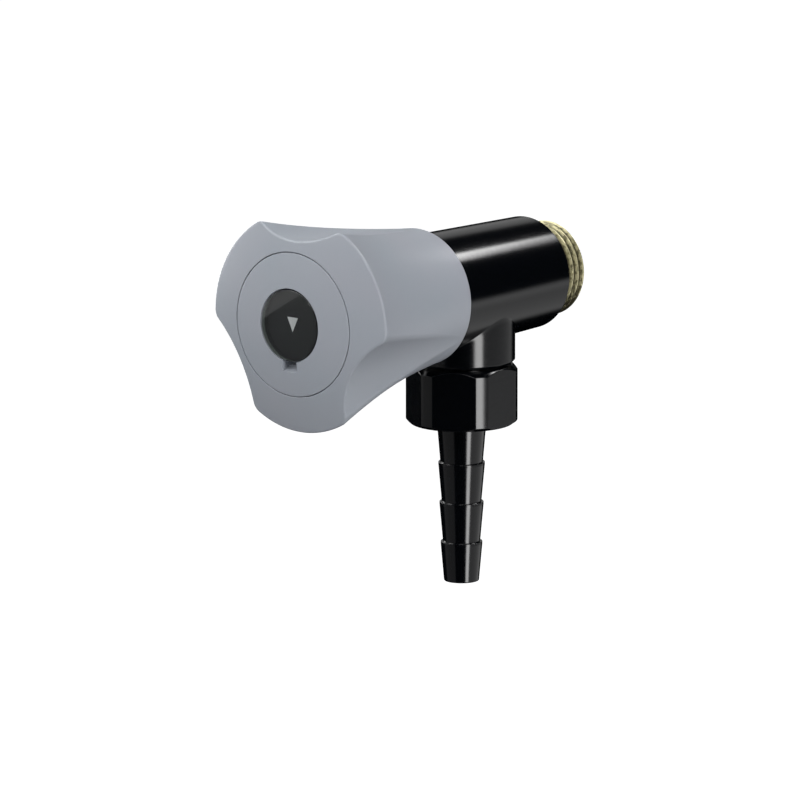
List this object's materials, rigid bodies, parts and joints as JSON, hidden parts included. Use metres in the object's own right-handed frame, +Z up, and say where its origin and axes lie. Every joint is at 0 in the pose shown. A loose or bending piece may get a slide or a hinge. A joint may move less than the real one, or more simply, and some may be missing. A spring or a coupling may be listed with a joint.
{
  "type": "laboratory vacuum tap",
  "caption": "Wall-mounted laboratory vacuum tap: lobed handwheel, tapered body with threaded inlet, downward union branch and serrated hose nozzle.",
  "frame": {"origin": "centre of the body's rear face, on the axis of the inlet thread, where the tap meets the wall fitting", "axes": "+Y runs to the wall along the inlet thread, the handwheel faces -Y, the outlet points down along -Z, +Z is up"},
  "size_m": [0.048, 0.0894, 0.0865],
  "materials": {
    "black_coat": "gloss black coating on brass",
    "thread_brass": "bare cut thread",
    "turned_brass": "turned",
    "hard_steel": "turned stainless",
    "seal_rubber": "matte moulded",
    "slip_plastic": "white low-friction plastic",
    "wheel_plastic": "fine satin blue-grey moulding",
    "index_black": "smooth black",
    "mark_white": "printed white",
    "clear_window": "clear moulded plastic"
  },
  "bodies": {
    "tap_body": {"valve_body": "black_coat", "inlet_nipple": "thread_brass", "inlet_seal_ring": "seal_rubber", "valve_seat": "hard_steel", "bonnet": "turned_brass", "bonnet_seal_ring": "seal_rubber", "thrust_washer": "slip_plastic", "outlet_gasket": "slip_plastic", "union_nut": "black_coat", "hose_nozzle": "black_coat"},
    "handwheel_set": {"handwheel": "wheel_plastic", "front_cap": "wheel_plastic", "index_disc": "index_black", "index_mark": "mark_white", "index_window": "clear_window", "wheel_screw": "hard_steel", "wheel_washer": "hard_steel", "spindle": "hard_steel", "spindle_seal_rings": "seal_rubber", "retaining_ring": "hard_steel"},
    "plunger_set": {"plunger": "turned_brass", "seat_washer": "seal_rubber", "clamp_plate": "hard_steel", "clamp_screw": "hard_steel"}
  },
  "joints": [
    {"name": "handwheel_turn", "type": "hinge", "parent": "tap_body", "child": "handwheel_set", "pos_m": [0, -0.06, 0], "axis": [0, -1, 0], "range_deg": [0, 540]},
    {"name": "plunger_lift", "type": "slide", "parent": "tap_body", "child": "plunger_set", "axis": [0, -1, 0], "range_m": [0, 0.00226]}
  ],
  "couplings": [
    {"joint": "plunger_lift", "follows": "handwheel_turn", "m_per_rad": 0.00023873}
  ]
}
